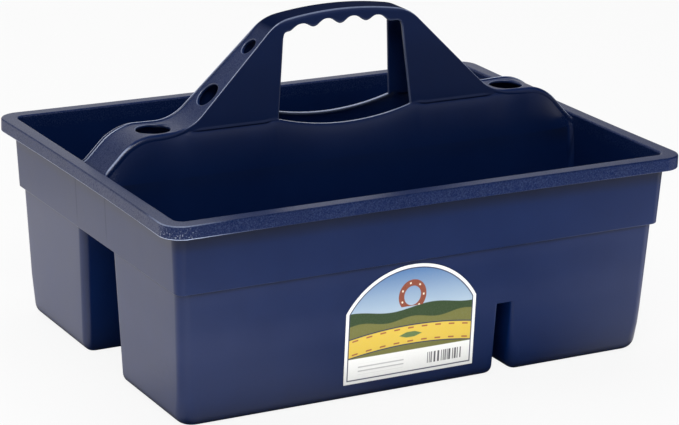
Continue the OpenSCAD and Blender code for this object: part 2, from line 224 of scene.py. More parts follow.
def rounded(points, radii, steps=5):
    """A closed outline with each corner turned by its radius."""
    out = []
    n = len(points)
    for i in range(n):
        p = Vector(points[i])
        radius = radii[i]
        if radius == 0:
            out.append(tuple(p))
            continue
        a = (Vector(points[i - 1]) - p).normalized()
        b = (Vector(points[(i + 1) % n]) - p).normalized()
        half = a.angle(b) / 2
        reach = radius / math.tan(half)
        centre = p + (a + b).normalized() * (radius / math.sin(half))
        start, end = p + a * reach - centre, p + b * reach - centre
        turn = start.angle_signed(end)
        for k in range(steps + 1):
            t = -turn * k / steps
            out.append((centre.x + start.x * math.cos(t) - start.y * math.sin(t),
                        centre.y + start.x * math.sin(t) + start.y * math.cos(t)))
    return out


def ring(low, high, radii, z):
    """Points round a rounded rectangle at height z, with a radius for each corner."""
    centres = [(high[0], high[1], -1, -1), (low[0], high[1], 1, -1),
               (low[0], low[1], 1, 1), (high[0], low[1], -1, 1)]
    arcs = []
    for c, (cx, cy, sx, sy) in enumerate(centres):
        r = radii[c]
        turns = [math.pi / 2 * (c + i / CORNER_STEPS) for i in range(CORNER_STEPS + 1)]
        arcs.append([(cx + sx * r + r * math.cos(a), cy + sy * r + r * math.sin(a), z)
                     for a in turns])
    points = []
    for c in range(4):
        points += arcs[c]
        p, q = arcs[c][-1], arcs[(c + 1) % 4][0]
        points += [tuple(p[k] + (q[k] - p[k]) * i / SIDE_STEPS for k in range(3))
                   for i in range(1, SIDE_STEPS)]
    return points


def lip_ring(inset, z):
    """Plan of the rim or the collar; the sides bow in, so that the corners stand out."""
    half = (RIM_LENGTH / 2 - inset, RIM_WIDTH / 2 - inset)
    bow = RIM_BOW + (BAND_BOW - RIM_BOW) * smooth(0, RIM_TOP, inset)
    bow *= smooth(LEDGE_TOP, LIP_FOOT, z)
    corner = max(RIM_CORNER - inset, RIM_CORNER_LEAST)
    points = ring((-half[0], -half[1]), half, [corner] * 4, z)
    return [(x + math.copysign(bow, x) * (y / half[1]) ** 2,
             y + math.copysign(bow, y) * (x / half[0]) ** 2, z) for x, y, z in points]


def ring_faces(p, q):
    """Faces between two closed rings, given by their points' numbers."""
    n = len(p)
    return [(p[i], p[(i + 1) % n], q[(i + 1) % n], q[i]) for i in range(n)]


def box_faces(base=0):
    """Faces of a box whose eight corners are two rings of four."""
    low, high = range(base, base + 4), range(base + 4, base + 8)
    return [tuple(reversed(low)), tuple(high)] + ring_faces(low, high)


def loft(name, rings, hoop=False, painted_light=None):
    """Skins rings of equal count; a hoop also joins the last to the first."""
    n, m = len(rings[0]), len(rings)
    faces = []
    for j in range(m if hoop else m - 1):
        a, b = j * n, ((j + 1) % m) * n
        faces += ring_faces(range(a, a + n), range(b, b + n))
    if not hoop:
        faces += [tuple(range(n)), tuple((m - 1) * n + i for i in reversed(range(n)))]
    return make_mesh(name, [p for r in rings for p in r], faces, painted_light=painted_light)


# Rim and collar
def rim_and_collar():
    foot = well_inset(STEP) + WALL
    under = RIM_HEIGHT - WALL
    outline = [(WALL, LIP_FOOT), (0, LIP_FOOT), (0, RIM_HEIGHT),
               (RIM_TOP, RIM_HEIGHT), (band_inset(LEDGE_TOP) + WALL, LEDGE_TOP), (foot, LEDGE_TOP),
               (foot, STEP), (band_inset(STEP), STEP), (band_inset(under), under), (WALL, under)]
    radii = [0.6, 0.9, 1.3, 1.9, 1.6, 1.2, 0, 1.0, 2.0, 1.0]
    section = rounded(outline, radii)
    rings = [lip_ring(*p) for p in section]
    # Painted highlights on the lip's lower edge and outer top edge, towards the near left corner
    painted_light = []
    for (inset, height), points in zip(section, rings):
        low = inset < 0.9 and height < LIP_FOOT + 0.7
        top = 0.2 < inset < 1.0 and height > RIM_HEIGHT - 1.0
        for x, y, _ in points:
            near = -x - y
            shine = low * (0.4 * (1 - smooth(-205, -150, x)) + 0.5 * smooth(340, 368, near))
            painted_light.append(shine + 0.5 * top * smooth(348, 372, near))
    return loft("rim_and_collar", rings, hoop=True, painted_light=painted_light)


# Wells
def well_ring(z, gap, turn_in, left, right, rear):
    """Plan of a well at height z; left and right say which ends face the front slot."""
    inset = gap + turn_in
    x0 = (FRONT_SLOT_X + slot_half(z) if left else well_inset(z) - RIM_LENGTH / 2) + inset
    x1 = (FRONT_SLOT_X - slot_half(z) if right else RIM_LENGTH / 2 - well_inset(z)) - inset
    y0 = well_inset(z) - RIM_WIDTH / 2 + inset
    y1 = -core_half(z) - gap - turn_in * CORE_ROUND_SHARE
    outer = WELL_CORNER + (FLOOR_CORNER - WELL_CORNER) * (1 - smooth(0, FLOOR_TURN, z))
    slot = SLOT_CORNER
    if left:  # the small well's near corner at the slot grows rounder towards its foot
        slot += (SLOT_FLOOR_CORNER - SLOT_CORNER) * (1 - smooth(0, FRONT_SLOT_TOP * 0.9, z))
    slot = max(slot - inset, SLOT_CORNER_LEAST)
    outer = max(outer - inset, WALL)
    core = max((REAR_CORE_CORNER if rear else WELL_CORNER) - inset, WALL)
    radii = [slot if right else core, slot if left else core,
             slot if left else outer, slot if right else outer]
    if rear:
        y0, y1 = -y1, -y0
        radii.reverse()
    return ring((x0, y0), (x1, y1), radii, z)


def well(name, top, left=0, right=0, rear=False):
    """A walled cup with a rounded floor, open at the top."""
    rings = []
    for z0, radius, gap in ((0, WELL_ROUND, 0), (WALL, WELL_ROUND - WALL, WALL)):
        turns = [math.pi / 2 * i / TURN_STEPS for i in range(TURN_STEPS + 1)]
        rows = [(z0 + radius * (1 - math.cos(a)), radius * (1 - math.sin(a))) for a in turns]
        rows += [(z0 + radius + (top - z0 - radius) * i / 4, 0) for i in range(1, 5)]
        skin = [well_ring(z, gap, turn_in, left, right, rear) for z, turn_in in rows]
        rings += skin if gap == 0 else skin[::-1]
    return loft(name, rings)


def front_trough():
    """The wall that runs round both front wells above the slot between them."""
    heights = [BRIDGE_TOP + (STEP - BRIDGE_TOP) * i / 3 for i in range(4)]
    rings = [well_ring(z, 0, 0, 0, 0, False) for z in heights]
    rings += [well_ring(z, WALL, 0, 0, 0, False) for z in reversed(heights)]
    return loft("front_trough", rings, hoop=True)


# The slot's cap: faces that would coincide stand proud by a hair
PROUD, BRIDGE_LAP, BRIDGE_ROUND, PLATE = 0.03, 0.4, 2.5, WALL - 0.2


def slot_bridge():
    """Rounded cap over the slot between the front wells, with a plate at each of its ends."""
    half = slot_half(BRIDGE_TOP) + WALL + PROUD
    top = BRIDGE_TOP + PROUD
    section = rounded([(-half, FRONT_SLOT_TOP), (half, FRONT_SLOT_TOP), (half, top), (-half, top)],
                      [0, 0, BRIDGE_ROUND, BRIDGE_ROUND], steps=6)
    front = [(FRONT_SLOT_X + x, well_inset(z) - RIM_WIDTH / 2, z) for x, z in section]
    back = [(FRONT_SLOT_X + x, -core_half(z), z) for x, z in section]
    n = len(section)
    points = front + back
    faces = ring_faces(range(n), range(n, 2 * n))
    faces += [tuple(reversed(range(n))), tuple(range(n, 2 * n))]
    reach = slot_half(FRONT_SLOT_TOP) + SLOT_CORNER + 0.3
    for y_of, depth in ((lambda z: well_inset(z) - RIM_WIDTH / 2 - PROUD, PLATE),
                        (lambda z: -core_half(z) + PROUD, -PLATE)):
        base = len(points)
        for d in (0, depth):
            points += [(FRONT_SLOT_X + sx * reach, y_of(z) + d, z)
                       for sx, z in ((-1, FRONT_SLOT_TOP), (1, FRONT_SLOT_TOP),
                                     (1, BRIDGE_TOP + BRIDGE_LAP), (-1, BRIDGE_TOP + BRIDGE_LAP))]
        faces += box_faces(base)
    return make_mesh("slot_bridge", points, faces)


def trim_slot_walls(obj):
    """Lowers a well's wall at the slot between front and back, so that the cap's rounds show."""
    low = FRONT_SLOT_TOP + BRIDGE_LAP
    half = slot_half(0) + WALL + 3
    y0 = well_inset(BRIDGE_TOP) - RIM_WIDTH / 2 + WALL + 0.01
    y1 = -core_half(BRIDGE_TOP) - WALL - 0.01
    box = [(FRONT_SLOT_X + sx * half, y, z) for z in (low, BRIDGE_TOP + 5)
           for sx, y in ((-1, y0), (1, y0), (1, y1), (-1, y1))]
    cutter = make_mesh("slot_cutter", box, box_faces())
    mod = obj.modifiers.new("trim", "BOOLEAN")
    mod.operation, mod.object, mod.solver = "DIFFERENCE", cutter, "EXACT"
    apply_modifiers(obj)
    bpy.data.objects.remove(cutter)


def apply_modifiers(obj):
    """Replaces an object's mesh by its evaluated one."""
    bpy.context.view_layer.update()
    mesh = bpy.data.meshes.new_from_object(obj.evaluated_get(bpy.context.evaluated_depsgraph_get()))
    old = obj.data
    obj.modifiers.clear()
    obj.data = mesh
    bpy.data.meshes.remove(old)
    mesh.name = obj.name
    mesh.polygons.foreach_set("use_smooth", [True] * len(mesh.polygons))
    mesh.set_sharp_from_angle(angle=SHARP_ANGLE)


# Divider, straps and grip
DISH_RUN, DISH_DEPTH, FLARE_R = 1.0, 0.9, 4.5
LEDGE, LEDGE_RISE, GROOVE = 0.8, 3.2, 0.5
# Rows above the crease: at most so many millimetres, and at most a share of the cheek
LEDGE_STEPS = ((0.45, 0.06), (1.1, 0.13), (2.0, 0.22), (LEDGE_RISE, 0.35))
CHEEK_ROW, KNEE_SHARE, SHOULDER_POWER = 0.68, 0.84, 1.6
SHOULDER_ROWS, LOW_ROWS, HIGH_ROWS, ARC_ROWS, DISH_ROWS, DECK_ROWS = 20, 6, 4, 6, 4, 14
ARC_ROW = SHOULDER_ROWS + 1 + LOW_ROWS + HIGH_ROWS
DISH_ROW = ARC_ROW + ARC_ROWS
KNEE_ROW = SHOULDER_ROWS + LOW_ROWS
CORNER_R, HOLE_STEPS, HAIR = 4.0, 52, 1e-6
BEVEL_ANGLE, BEVEL_WIDTH, BEVEL_STEPS = 60, 0.8, 3
# Radius of the straps' edges, what the saddles and the grip add, and width of the borders
EDGE_R, SADDLE_EDGE, GRIP_EDGE, BORDER, FOOT_BORDER = 1.1, 2.2, 1.9, 0.5, 1.3
# Tool holes: radius and lip on the saddles, then share of the slope and radius of each one above
SADDLE_HOLE, SLOPE_HOLES, SLOPE_HOLE_LIP = (13.5, 1.5), ((0.2075, 10.25), (0.812, 6.8)), 1.3
HOLE_MARGIN, HOLE_SIDE_MARGIN, LIP_ROWS = 2.2, 0.5, 6
# Painted highlight along the handle's edges, and by row of a tool hole's lip
HOLLOW_SHINE, SIDE_SHINE, GRIP_SHINE, LEDGE_SHINE = 0.60, 0.25, 0.45, 0.045
SLOPE_SHINE, REAR_SHINE = 0.95, 0.9
LIP_SHINE, LIP_SHINE_TURN = ((2, 0.3), (3, 0.6), (4, 0.3)), 2.1


def edge_round(x):
    """Radius of the strap's edge: crisp up the slopes, fuller on the saddles and the grip."""
    return EDGE_R + SADDLE_EDGE * strap_part(x) + GRIP_EDGE * (1 - smooth(*GRIP_RUN, abs(x)))


def edge_flat(x):
    """Width of the raised border along a strap, wider on the slopes down to the rim."""
    return BORDER + FOOT_BORDER * smooth(SADDLE_OUT, SADDLE_OUT + 15, abs(x))


def dish(x):
    """How far the strap's middle lies below its edges; the grip's top is level."""
    return DISH_DEPTH * smooth(*DISH_START, abs(x))


def foot_ledge(x):
    """1 along the cheeks' feet, where a small ledge with a groove meets the divider."""
    ax = abs(x)
    return smooth(HOLE_FOOT, HOLE_FOOT + 5, ax) * (1 - smooth(CREASE_END - 10, CREASE_END + 2, ax))


def flare(x):
    """Fillet where the divider meets an end wall."""
    gap = STRAP_END - abs(x)
    if gap >= FLARE_R:
        return 0.0
    return FLARE_R - math.sqrt(max(FLARE_R ** 2 - (FLARE_R - max(gap, 0)) ** 2, 0))


def side_half(x, z):
    """Half the handle's width at a height, with its cheeks leaning in."""
    return edge_half(x) - max(z - SADDLE, 0) * HANDLE_LEAN + flare(x)


def deck_z(x, y):
    """Height of the strap's top face."""
    rim = side_half(x, strap_z(x, 0)) - edge_round(x) - edge_flat(x)
    return strap_z(x, dish(x) * smooth(0, DISH_RUN, rim - abs(y)))


def knee_z(x):
    """Lower edge of the grip's skirt in the hand hole, rounded into the hole's sides."""
    gap = HOLE_TOP - abs(x)
    low = finger_edge(x)
    if gap < CORNER_R:
        low -= CORNER_R - math.sqrt(max(CORNER_R ** 2 - (CORNER_R - gap) ** 2, 0))
    return low


def handle_section(x_top):
    """Front half of a section, from the foot of the divider to the middle of the strap."""
    ax = abs(x_top)
    sign = 1 if x_top > 0 else -1
    if ax <= HOLE_TOP:
        x_low = x_top * HOLE_FOOT / HOLE_TOP
    elif ax < CREASE_END:
        spread = (CREASE_END - HOLE_FOOT) / (CREASE_END - HOLE_TOP)
        x_low = sign * (HOLE_FOOT + (ax - HOLE_TOP) * spread)
    else:
        x_low = x_top
    inside = ax < HOLE_TOP - HAIR
    through = ax <= HOLE_TOP + HAIR
    knee = knee_z(x_top)
    x_top, x_low = skew(x_top), skew(x_low)
    ledge = foot_ledge(x_low)
    crease, top = edge_z(x_low), strap_z(x_top, 0)
    radius = edge_round(x_top)
    under = strap_z(x_top, WALL + dish(x_top))
    outer, inner = [], []

    def face_half(z):
        return core_half(z) + WALL

    turn = crease - SHOULDER_FALL - (END_FALL - SHOULDER_FALL) * strap_part(x_low)
    y0, y1, y2 = edge_half(x_low) + LEDGE * ledge, face_half(turn), face_half(STEP)
    for j in range(SHOULDER_ROWS + 1):
        t = (1 - j / SHOULDER_ROWS) ** SHOULDER_POWER
        y = (1 - t) ** 2 * y0 + 2 * t * (1 - t) * y1 + t * t * y2
        z = (1 - t) ** 2 * crease + 2 * t * (1 - t) * turn + t * t * STEP
        run = (1 - t) * (y1 - y0) + t * (y2 - y1)
        fall = (1 - t) * (crease - turn) + t * (turn - STEP)
        square = Vector((fall, run)).normalized() if 0 < j < SHOULDER_ROWS else Vector((1, 0))
        reach = min(1.0, (end_face(z) + 0.5) / (STRAP_END + 0.5))
        y += flare(x_low)
        sunk = GROOVE * ledge if j == SHOULDER_ROWS else 0
        outer.append((x_low * reach, sunk - y, z))
        low = z - WALL * square.y
        inner.append((x_low * reach, WALL * square.x - y, low if inside else min(low, under)))
    if not through:
        knee = crease + (top - radius - crease) * KNEE_SHARE
    tall = knee - crease
    heights = [min(most, share * tall) for most, share in LEDGE_STEPS] + [CHEEK_ROW * tall, tall]
    rows = [(crease + h, h / tall) for h in heights]
    rows += [(knee + (top - radius - knee) * (i + 1) / HIGH_ROWS, 1.0) for i in range(HIGH_ROWS)]
    for z, f in rows:
        x = x_low + (x_top - x_low) * f
        y = side_half(x, z) + LEDGE * ledge * max(1 - (z - crease) / LEDGE_RISE, 0) ** 2
        outer.append((x, -y, z))
        inner.append((x, WALL - y, min(z, under)))
    edge = side_half(x_top, top)
    turns = [math.pi / 2 * k / ARC_ROWS for k in range(1, ARC_ROWS + 1)]
    across = [(edge - radius * (1 - math.cos(a)), top - radius * (1 - math.sin(a))) for a in turns]
    start = edge - radius - edge_flat(x_top)
    across += [(start - DISH_RUN * k / DISH_ROWS, None) for k in range(DISH_ROWS + 1)]
    last = start - DISH_RUN
    across += [(last * (1 - k / DECK_ROWS), None) for k in range(1, DECK_ROWS + 1)]
    for y, z in across:
        outer.append((x_top, -y, deck_z(x_top, y) if z is None else z))
        inner.append((x_top, -min(y, edge - WALL), under))
    return outer, inner


def edge_painted_light(x, row, rear):
    """How much painted highlight a point of a section gets along an edge; below zero it gets
    painted shade, a dark line.
    """
    ax = abs(x)
    if row == SHOULDER_ROWS:
        return HOLLOW_SHINE if ax < HOLE_TOP else -foot_ledge(ax)
    if abs(row - SHOULDER_ROWS) == 1 and ax > HOLE_TOP:
        return -0.8 * foot_ledge(ax)
    if row == SHOULDER_ROWS + 3 and ax > HOLE_TOP:
        return LEDGE_SHINE * foot_ledge(ax)
    if ax <= HOLE_TOP + 0.1 and SHOULDER_ROWS < row <= KNEE_ROW:
        return SIDE_SHINE
    upper_edge = ARC_ROW + 2 <= row <= ARC_ROW + 3
    if ax < GRIP_END:
        return GRIP_SHINE if upper_edge else 0.0
    if rear:
        low = smooth(SADDLE_OUT + 2, SADDLE_OUT + 14, ax)
        if DISH_ROW - 3 <= row <= DISH_ROW - 2:
            return REAR_SHINE
        if DISH_ROW - 1 <= row <= DISH_ROW:
            return REAR_SHINE - 1.4 * low
        return SLOPE_SHINE * low if DISH_ROW + 1 <= row <= DISH_ROW + 2 else 0.0
    slope = 1 - smooth(CREASE_END - 12, SADDLE_IN - 6, ax)
    foot = smooth(SADDLE_OUT + 18, SADDLE_OUT + 26, ax) * (1 - smooth(STRAP_END - 5, STRAP_END, ax))
    return max(SLOPE_SHINE * slope, foot) if upper_edge else 0.0


def handle_stations():
    """Places of the sections along the handle, closer where its profile turns."""
    half = []
    for a, b, gap in ((STRAP_END + 0.5, STRAP_END - 8, 0.7), (STRAP_END - 8, 177, 2.0),
                      (177, 143.5, 1.15), (143.5, 125, 2.0), (125, 103, 0.9), (103, 87, 2.0),
                      (87, 69, 0.8), (69, HOLE_TOP, 1.5)):
        n = max(1, round((a - b) / gap))
        half += [a + (b - a) * i / n for i in range(n)]
    half += [HOLE_TOP - CORNER_R * (1 - math.cos(math.radians(a))) for a in (0, 30, 60)]
    start = HOLE_TOP - CORNER_R
    half += [start * (1 - i / HOLE_STEPS) for i in range(HOLE_STEPS)]
    return [-x for x in half] + [0.0] + half[::-1]


def tool_holes():
    """Place, slope, radius and lip of each tool hole, left and right."""
    slope_foot = SADDLE_IN - SADDLE_R * math.sin(UP_SLOPE)
    slope_top = TURN_X + TURN_R * math.sin(UP_SLOPE)
    holes = [((SADDLE_OUT + SADDLE_IN) / 2, 0.0, *SADDLE_HOLE)]
    for share, radius in SLOPE_HOLES:
        place = slope_foot + (slope_top - slope_foot) * share
        holes.append((place, UP_SLOPE, radius, SLOPE_HOLE_LIP))
    return [(side * x, side * slope, radius, lip)
            for x, slope, radius, lip in holes for side in (-1, 1)]


def hole_rows(hole, angles):
    """Rows of points down a tool hole's rounded lip and its bore, at the given angles."""
    hx, slope, radius, lip = hole
    run = math.cos(slope)
    normal = Vector((math.sin(slope), 0, math.cos(slope)))
    rows = []
    for k in range(LIP_ROWS + 1):
        a = math.pi / 2 * k / LIP_ROWS
        r, drop = radius + lip * (1 - math.sin(a)), lip * (1 - math.cos(a))
        places = [(hx + r * math.cos(t) * run, r * math.sin(t)) for t in angles]
        rows.append([tuple(Vector((x, y, deck_z(x, y))) - normal * drop) for x, y in places])
    bore = []
    for t in angles:
        x, y = hx + radius * math.cos(t) * run, radius * math.sin(t)
        depth = WALL + dish(x)
        if slope == 0:
            bore.append((x, y, strap_z(x, depth)))
        else:
            bore.append(tuple(Vector((x, y, strap_z(x, 0))) - normal * depth))
    return rows + [bore]


def cell(i, j, m):
    """Corners of a cell in the handle's grid of points, in order."""
    return i * m + j, (i + 1) * m + j, (i + 1) * m + j + 1, i * m + j + 1


def cell_edges(corners):
    return [(min(e), max(e)) for e in zip(corners, corners[1:] + corners[:1])]


def handle_painted_light(xs, m, count, lips):
    """Painted highlight of every point of the handle, with painted shade below zero: its sections,
    then the tool holes' lips.
    """
    size = len(xs) * m
    painted_light = [0.0] * count
    for i, x in enumerate(xs):
        for j in range(m):
            row = min(j, m - 1 - j)
            value = edge_painted_light(x, row, j > (m - 1) // 2)
            painted_light[i * m + j] = value
            if row == SHOULDER_ROWS:
                painted_light[size + i * m + j] = value
    for first, angles in lips:
        for k, value in LIP_SHINE:
            for v, t in enumerate(angles):
                turned = max(math.cos(t - LIP_SHINE_TURN), 0) ** 2
                painted_light[first + k * len(angles) + v] = value * (0.2 + 0.8 * turned)
    return painted_light


def handle():
    """Divider, straps and grip as one moulded skin with a wall's thickness."""
    xs = handle_stations()
    fronts = [handle_section(x) for x in xs]
    outer = [s[0] + [(p[0], -p[1], p[2]) for p in reversed(s[0][:-1])] for s in fronts]
    inner = [s[1] + [(p[0], -p[1], p[2]) for p in reversed(s[1][:-1])] for s in fronts]
    n, m = len(xs), len(outer[0])
    size = n * m
    points = [p for row in outer for p in row] + [p for row in inner for p in row]
    hand_hole = {(i, k) for i in range(n - 1) if max(abs(xs[i]), abs(xs[i + 1])) <= HOLE_TOP + HAIR
                 for j in range(SHOULDER_ROWS, KNEE_ROW) for k in (j, m - 2 - j)}
    faces, patches, lips = [], set(), []
    for hole in tool_holes():
        hx, slope, radius, lip = hole
        run = math.cos(slope)
        reach = radius + lip
        i0 = max(i for i in range(n) if xs[i] < hx - (reach + HOLE_MARGIN) * run)
        i1 = min(i for i in range(n) if xs[i] > hx + (reach + HOLE_MARGIN) * run)
        ic = min(range(n), key=lambda i: abs(xs[i] - hx))
        j0 = max(j for j in range((m - 1) // 2) if -outer[ic][j][1] > reach + HOLE_SIDE_MARGIN)
        j1 = m - 1 - j0
        patches |= {(i, j) for i in range(i0, i1) for j in range(j0, j1)}
        loop = [(i, j0) for i in range(i0, i1)] + [(i1, j) for j in range(j0, j1)]
        loop += [(i, j1) for i in range(i1, i0, -1)] + [(i0, j) for j in range(j1, j0, -1)]
        angles = [math.atan2(outer[i][j][1], (xs[i] - hx) / run) for i, j in loop]
        lips.append((len(points), angles))
        rings = [[i * m + j for i, j in loop]]
        for row in hole_rows(hole, angles):
            rings.append(list(range(len(points), len(points) + len(loop))))
            points += row
        rings.append([size + i * m + j for i, j in loop])
        for p, q in zip(rings, rings[1:]):
            faces += ring_faces(p, q)
    removed = hand_hole | patches
    sides = {}
    for i, j in ((i, j) for i in range(n - 1) for j in range(m - 1) if (i, j) not in removed):
        corners = cell(i, j, m)
        faces += [corners, tuple(size + c for c in reversed(corners))]
        for edge in cell_edges(corners):
            sides[edge] = sides.get(edge, 0) + 1
    # The wall's thickness shows at the ends and in the hand hole; bores close the tool holes
    bored = {edge for i, j in patches for edge in cell_edges(cell(i, j, m))}
    faces += [(a, b, size + b, size + a) for (a, b), uses in sides.items()
              if uses == 1 and (a, b) not in bored]
    painted_light = handle_painted_light(xs, m, len(points), lips)
    obj = make_mesh("handle_and_divider", points, faces, weld=2e-3, painted_light=painted_light)
    bevel = obj.modifiers.new("edges", "BEVEL")
    bevel.limit_method, bevel.angle_limit = "ANGLE", math.radians(BEVEL_ANGLE)
    bevel.width, bevel.segments = BEVEL_WIDTH * MM, BEVEL_STEPS
    bevel.use_clamp_overlap = False
    return obj


# Label
def label():
    """A thin arched sheet on the large front well's leaning face, with a map for its print."""
    lean = math.atan(WALL_LEAN)
    across, up = 56, 40
    origin = Vector((LABEL_X, well_inset(LABEL_FOOT) - RIM_WIDTH / 2, LABEL_FOOT))
    rise = Vector((0, -math.sin(lean), math.cos(lean)))
    out = Vector((0, -math.cos(lean), -math.sin(lean)))
    points, flat = [], []
    for proud in (LABEL_THICK, 0.0):
        for i in range(across + 1):
            x = LABEL_WIDTH * (i / across - 0.5)
            top = LABEL_SIDE + LABEL_ARCH - LABEL_ARCH_R + math.sqrt(LABEL_ARCH_R ** 2 - x * x)
            for j in range(up + 1):
                h = top * j / up
                points.append(tuple(origin + Vector((x, 0, 0)) + rise * h + out * proud))
                flat.append((x / LABEL_UNIT + 0.5, h / LABEL_UNIT))
    row, size = up + 1, (across + 1) * (up + 1)
    faces = []
    for i in range(across):
        for j in range(up):
            a, b = i * row + j, (i + 1) * row + j
            faces += [(a, b, b + 1, a + 1), (size + a + 1, size + b + 1, size + b, size + a)]
    rim = [i * row for i in range(across)] + [across * row + j for j in range(up)]
    rim += [i * row + up for i in range(across, 0, -1)] + [j for j in range(up, 0, -1)]
    faces += ring_faces(rim, [size + k for k in rim])
    return make_mesh("front_label", points, faces, flat=flat)


# Materials
def new_node(tree, kind):
    return tree.nodes.new("ShaderNode" + kind)


class Field:
    """A value in a shader tree; sums and comparisons add Math nodes."""

    def __init__(self, tree, socket):
        self.tree, self.socket = tree, socket

    def math(self, operation, *others):
        node = new_node(self.tree, "Math")
        node.operation = operation
        for k, value in enumerate((self, *others)):
            if isinstance(value, Field):
                value.feed(node.inputs[k])
            else:
                node.inputs[k].default_value = value
        return Field(self.tree, node.outputs[0])

    def __add__(self, other):
        return self.math("ADD", other)

    def __sub__(self, other):
        return self.math("SUBTRACT", other)

    def __mul__(self, other):
        return self.math("MULTIPLY", other)

    def __truediv__(self, other):
        return self.math("DIVIDE", other)

    def __abs__(self):
        return self.math("ABSOLUTE")

    def above(self, edge, blur=0.002):
        """1 where the value is over edge, with a soft change of that width to each side."""
        if isinstance(edge, Field):
            return ((self - edge) / (2 * blur) + 0.5).clip()
        return self.between(edge - blur, edge + blur)

    def between(self, low, high):
        """Rises from 0 at low to 1 at high."""
        return ((self - low) / (high - low)).clip()

    def within(self, rise, fall):
        """Rises over the first range and falls over the second."""
        return self.between(*rise) * self.between(*fall).flip()

    def clip(self):
        node = new_node(self.tree, "Clamp")
        self.feed(node.inputs["Value"])
        return Field(self.tree, node.outputs[0])

    def flip(self):
        return self * -1.0 + 1.0

    def feed(self, socket):
        self.tree.links.new(self.socket, socket)


def new_material(name):
    mat = bpy.data.materials.new(name)
    mat.use_nodes = True
    tree = mat.node_tree
    shader = tree.nodes["Principled BSDF"]
    return mat, tree, shader


def parts(tree, vector):
    """The three parts of a vector."""
    node = new_node(tree, "SeparateXYZ")
    tree.links.new(vector, node.inputs[0])
    return [Field(tree, part) for part in node.outputs]


def noise(tree, vector, scale, detail, rough):
    node = new_node(tree, "TexNoise")
    node.inputs["Scale"].default_value = scale
    node.inputs["Detail"].default_value = detail
    node.inputs["Roughness"].default_value = rough
    tree.links.new(vector, node.inputs["Vector"])
    return Field(tree, node.outputs["Fac"])


def mix(factor, a, b):
    """A colour between a and b; each is a colour or a socket."""
    tree = factor.tree
    node = new_node(tree, "Mix")
    node.data_type = "RGBA"
    factor.feed(node.inputs["Factor"])
    for key, value in (("A", a), ("B", b)):
        socket = next(s for s in node.inputs if s.name == key and s.type == "RGBA")
        if isinstance(value, tuple):
            socket.default_value = (*value, 1.0)
        else:
            tree.links.new(value, socket)
    return next(s for s in node.outputs if s.type == "RGBA")


def bump(height, distance, strength, below=None):
    tree = height.tree
    node = new_node(tree, "Bump")
    node.inputs["Strength"].default_value = strength
    node.inputs["Distance"].default_value = distance
    height.feed(node.inputs["Height"])
    if below is not None:
        tree.links.new(below, node.inputs["Normal"])
    return node.outputs["Normal"]


# Colours of the plastic
NAVY, NAVY_PALE = (0.0017, 0.0126, 0.0705), (0.0021, 0.0151, 0.0820)
FLECK, EDGE_WEAR_AND_SHEEN, PAINTED_HIGHLIGHT = (0.038, 0.062, 0.172), (0.011, 0.023, 0.090), (0.50, 0.58, 0.80)
PAINTED_SHADE, CORNER_GLINT = (0.0012, 0.0035, 0.017), (0.27, 0.30, 0.38)
UNDER_LIP_SHADOW, STEP_SHADOW = (0.009, 0.010, 0.014), (0.006, 0.008, 0.014)
# Where its marks fade in or out, in metres in the box's frame
LIP_LOW, BRIM_X, BRIM_Y = (0.152, 0.156), (0.198, 0.202), (0.140, 0.144)
DECK_LOW, GRIP_LOW, HANDLED_LOW = (0.120, 0.140), (0.240, 0.262), (0.186, 0.200)
GLINT_CORNER, GLINT_Z = (0.366, 0.378), ((0.1535, 0.1555), (0.1600, 0.1645))
END_SHADE_Y, END_SHADE_EDGE, END_SHADE_X = 0.0285, (0.0003, 0.0014), (0.204, 0.206)
END_SHADE_Z = (0.112, 0.120), (0.150, 0.156)
OUTER_FACES, UNDER_LIP_Z = (0.02, 0.06), ((0.1400, 0.1525), (0.1547, 0.1552))
STEP_SHADOW_Z, WELL_HIGH = ((0.1042, 0.1068), (0.1078, 0.1084)), (0.1068, 0.1078)


